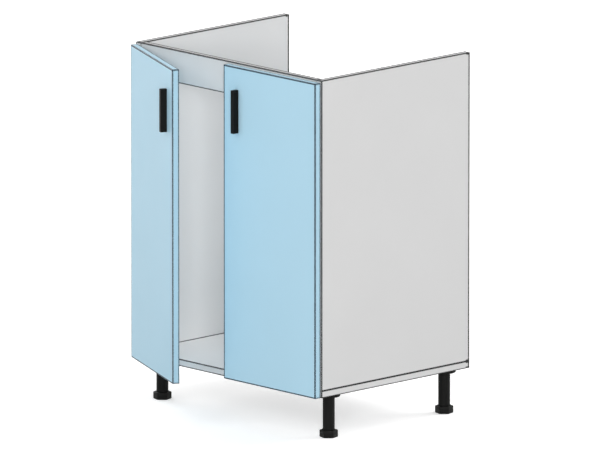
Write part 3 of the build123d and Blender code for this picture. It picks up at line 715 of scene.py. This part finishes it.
# Dark blue of the painted shade line along each arris of the doors and their bands.
BLUE_EDGE_SHADE = "14293A"
LAMINATE_ROUGHNESS = 0.46
CUP_SCREW_PROFILE_MM = [(2.2, 0.0), (2.9, -0.3), (3.4, -1.0), (3.4, -1.8), (1.9, -1.8), (1.9, -15.8)]
CUP_SCREW_CROSS_MM = (0.5, 1.8, 1.4)

door_laminate = facing("door_laminate_blue", DOOR_BLUE, BLUE_EDGE_SHADE, LAMINATE_ROUGHNESS,
                       top_arris=ARRIS_WIDTH)
door_band = facing("abs_edge_band_blue", DOOR_BLUE, BLUE_EDGE_SHADE, BAND_ROUGHNESS, top_arris=ARRIS_WIDTH)
cup_screw = turned_piece("cup_screw", CUP_SCREW_PROFILE_MM, CUP_SCREW_CROSS_MM)
for side in ("left", "right"):
    give([side + "_door_panel"], door_laminate)
    give([side + "_door_bands"], door_band)
    set_pieces(side + "_cup_wood_screws", side + "_door", side + "_cup_screws",
               heads_of(side + "_cup_screws"), cup_screw, nickel, seed=17)
bpy.data.objects.remove(cup_screw)


# ---------------------------------------------------------------- door buffers
# Clear soft polyurethane domes, stuck on the doors' backs where they meet the bottom panel and the rail.
# They are a little over a millimetre thick, and shine more than the boards do.

BUFFER_CLEAR = "E6E6E2"
BUFFER_PROFILE_MM = [(0.8, 0.0), (2.0, -0.12), (3.0, -0.4), (3.7, -0.75), (4.0, -1.1), (4.0, -1.2)]


def buffer_face(corners, door_middle):
    """A buffer's face: its middle, and the way it looks, away from the door."""
    middle = corners.mean(axis=0)
    way = np.linalg.svd(corners - middle)[2][2]
    if way @ (middle - door_middle) < 0:
        way = -way
    return middle + way * ((corners - middle) @ way).max(), way


clear_soft = moulded("polyurethane_clear", BUFFER_CLEAR, roughness=0.25, specular=0.5)
buffer_dome = turned_piece("buffer", BUFFER_PROFILE_MM)
for side in ("left", "right"):
    band_corners = nodes[side + "_door_bands"].data.vertices
    door_middle = np.array([corner.co[:] for corner in band_corners]).mean(axis=0)
    buffer_faces = [buffer_face(solid, door_middle) for solid in loose_solids(side + "_bumpers")]
    set_pieces(side + "_soft_buffers", side + "_door", side + "_bumpers", buffer_faces, buffer_dome,
               clear_soft)
bpy.data.objects.remove(buffer_dome)


# ---------------------------------------------------------------- handles
# Solid aluminium bars, powder coated matt black, fixed through the door from behind with two machine
# screws each. As with the legs, the black is written darker than it looks.

POWDER_BLACK = "0D0D0C"
POWDER_ROUGHNESS = 0.54
POWDER_IOR = 1.5
POWDER_SPECULAR = 0.12
POWDER_CLOUD_SIZE = 20 * MM
POWDER_SHEEN_SIZE = 6 * MM
POWDER_DRIFT = 0.04
PEEL_SIZE = 1.1 * MM
PEEL_DEPTH = 0.05 * MM
MACHINE_SCREW_PROFILE_MM = [(3.6, 0.0), (4.0, -0.4), (4.0, -2.4), (2.0, -2.4), (2.0, -24.0)]
MACHINE_SCREW_CROSS_MM = (0.6, 2.3, 1.7)


def powder_coat(name, colour):
    """Matt powder coat with its fine orange peel."""
    material, tree = new_material(name)
    finish_surface(tree, Base_Color=clouded(tree, colour, POWDER_CLOUD_SIZE, POWDER_DRIFT),
                   Roughness=drifting(tree, noise(tree, POWDER_SHEEN_SIZE), POWDER_ROUGHNESS, POWDER_DRIFT),
                   IOR=POWDER_IOR, Specular_IOR_Level=POWDER_SPECULAR,
                   Normal=bumped(tree, noise(tree, PEEL_SIZE, detail=1.0), PEEL_DEPTH))
    return material


give(["left_handle", "right_handle"], powder_coat("powder_coated_aluminium_black", POWDER_BLACK))
machine_screw = turned_piece("machine_screw", MACHINE_SCREW_PROFILE_MM, MACHINE_SCREW_CROSS_MM)
for side in ("left", "right"):
    set_pieces(side + "_handle_machine_screws", side + "_door", side + "_handle_screws",
               heads_of(side + "_handle_screws"), machine_screw, zinc_plate, seed=19)
bpy.data.objects.remove(machine_screw)


# ---------------------------------------------------------------- floor and backdrop
# A plain white floor, lifted to white where only the camera sees it, that keeps the soft shadow near the
# cabinet and is lifted a little more further off.

FLOOR_SIZE = 24.0
FLOOR_DIFFUSE = 0.80
FLOOR_LIFT = 0.46
FAR_LIFT = 0.66
FAR_SPAN = (0.8, 2.0)


def seen_ray(tree):
    """1 for rays from the camera, and those that gloss or glass sends on."""
    path = add(tree, "ShaderNodeLightPath").outputs
    either = of_two(tree, "MAXIMUM", path["Is Camera Ray"], path["Is Glossy Ray"])
    return of_two(tree, "MAXIMUM", either, path["Is Transmission Ray"])


half = FLOOR_SIZE / 2
floor_corners = [(-half, -half, 0), (half, -half, 0), (half, half, 0), (-half, half, 0)]
floor_mesh = bpy.data.meshes.new("studio_floor")
floor_mesh.from_pydata(floor_corners, [], [(0, 1, 2, 3)])
floor = new_object("studio_floor", floor_mesh)
paper, paper_tree = new_material("white_studio_paper")
matt = add(paper_tree, "ShaderNodeBsdfDiffuse", {"Color": (FLOOR_DIFFUSE,) * 3 + (1.0,)})
floor_place = add(paper_tree, "ShaderNodeTexCoord").outputs["Object"]
away = add(paper_tree, "ShaderNodeVectorMath", {0: floor_place}, operation="LENGTH").outputs["Value"]
most = spread(paper_tree, away, *FAR_SPAN, FLOOR_LIFT, FAR_LIFT)
lift = of_two(paper_tree, "MULTIPLY", seen_ray(paper_tree), most)
glow = add(paper_tree, "ShaderNodeEmission", {"Color": (1, 1, 1, 1), "Strength": lift})
both = add(paper_tree, "ShaderNodeAddShader", {0: matt.outputs[0], 1: glow.outputs[0]})
add(paper_tree, "ShaderNodeOutputMaterial", {"Surface": both.outputs[0]})
floor_mesh.materials.append(paper)


# ---------------------------------------------------------------- light
# An even white dome, and four soft lamps round the cabinet, each as azimuth, elevation, watts and size. The
# front one stands high, to reach the rail over the open door, the right one is small, to reach in past that
# door, and the back one shines through the open back on to the insides.

DOME_STRENGTH = 0.20
LAMP_DISTANCE = 4.5
LAMPS = {"front_lamp": (-15.0, 40.0, 62.0, 3.0), "right_lamp": (46.0, 16.0, 84.0, 1.2),
         "back_lamp": (160.0, 30.0, 175.0, 3.0), "left_lamp": (-100.0, 18.0, 96.0, 3.0)}

world = bpy.data.worlds.new("white_dome")
world.use_nodes = True
world.node_tree.nodes.clear()
strength = spread(world.node_tree, seen_ray(world.node_tree), 0.0, 1.0, DOME_STRENGTH, 1.0)
dome = add(world.node_tree, "ShaderNodeBackground", {"Color": (1, 1, 1, 1), "Strength": strength})
add(world.node_tree, "ShaderNodeOutputWorld", {"Surface": dome.outputs[0]})
bpy.context.scene.world = world


def towards(azimuth, elevation):
    """The direction from the object to a viewer; azimuth 0 stands in front and 90 on the right."""
    round_it = math.radians(azimuth)
    upwards = math.radians(elevation)
    level = math.cos(upwards)
    return Vector((math.sin(round_it) * level, -math.cos(round_it) * level, math.sin(upwards)))


for name, (azimuth, elevation, power, size) in LAMPS.items():
    lamp_data = bpy.data.lights.new(name, "AREA")
    lamp_data.shape = "SQUARE"
    lamp_data.size = size
    lamp_data.energy = power
    lamp = bpy.data.objects.new(name, lamp_data)
    bpy.context.scene.collection.objects.link(lamp)
    lamp_way = towards(azimuth, elevation)
    lamp.location = (cad_low + cad_high) / 2 + lamp_way * LAMP_DISTANCE
    lamp.rotation_mode = "QUATERNION"
    lamp.rotation_quaternion = lamp_way.to_track_quat("Z", "Y")


# ---------------------------------------------------------------- camera
# A very long lens from far away, because the picture is drawn without perspective.

VIEW_AZIMUTH = 46.38
VIEW_ELEVATION = 12.11
LENS_MM = 1270.0
SENSOR_MM = 36.0
CLIP_START = 1.0
FRAME_PIXELS = (600, 450)
PIXELS_PER_METRE = 447.55
CARCASS_WIDTH = 600 * MM
CARCASS_HEIGHT = 720 * MM
LEG_HEIGHT = 100 * MM
AIM_DEPTH = 200 * MM
AIM_PIXEL = (293.5, 206.5)

carcass_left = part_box("left_side_panel")[0].x
carcass_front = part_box("front_bands")[0].y
aim = Vector((carcass_left + CARCASS_WIDTH / 2, carcass_front + AIM_DEPTH, LEG_HEIGHT + CARCASS_HEIGHT / 2))
back = towards(VIEW_AZIMUTH, VIEW_ELEVATION)
right = Vector((-back.y, back.x, 0)).normalized()
up = back.cross(right)
frame_width = FRAME_PIXELS[0] / PIXELS_PER_METRE
distance = frame_width * LENS_MM / SENSOR_MM
target = aim + right * ((FRAME_PIXELS[0] / 2 - AIM_PIXEL[0]) / PIXELS_PER_METRE)
target = target - up * ((FRAME_PIXELS[1] / 2 - AIM_PIXEL[1]) / PIXELS_PER_METRE)
camera_data = bpy.data.cameras.new("camera")
camera_data.type = "PERSP"
camera_data.sensor_width = SENSOR_MM
camera_data.lens = LENS_MM
camera_data.clip_start = CLIP_START
camera_data.clip_end = distance * 2
camera = bpy.data.objects.new("camera", camera_data)
bpy.context.scene.collection.objects.link(camera)
turn = Matrix((right, up, back)).transposed().to_4x4()
camera.matrix_world = Matrix.Translation(target + back * distance) @ turn
bpy.context.scene.camera = camera
bpy.context.scene.view_settings.view_transform = "Standard"
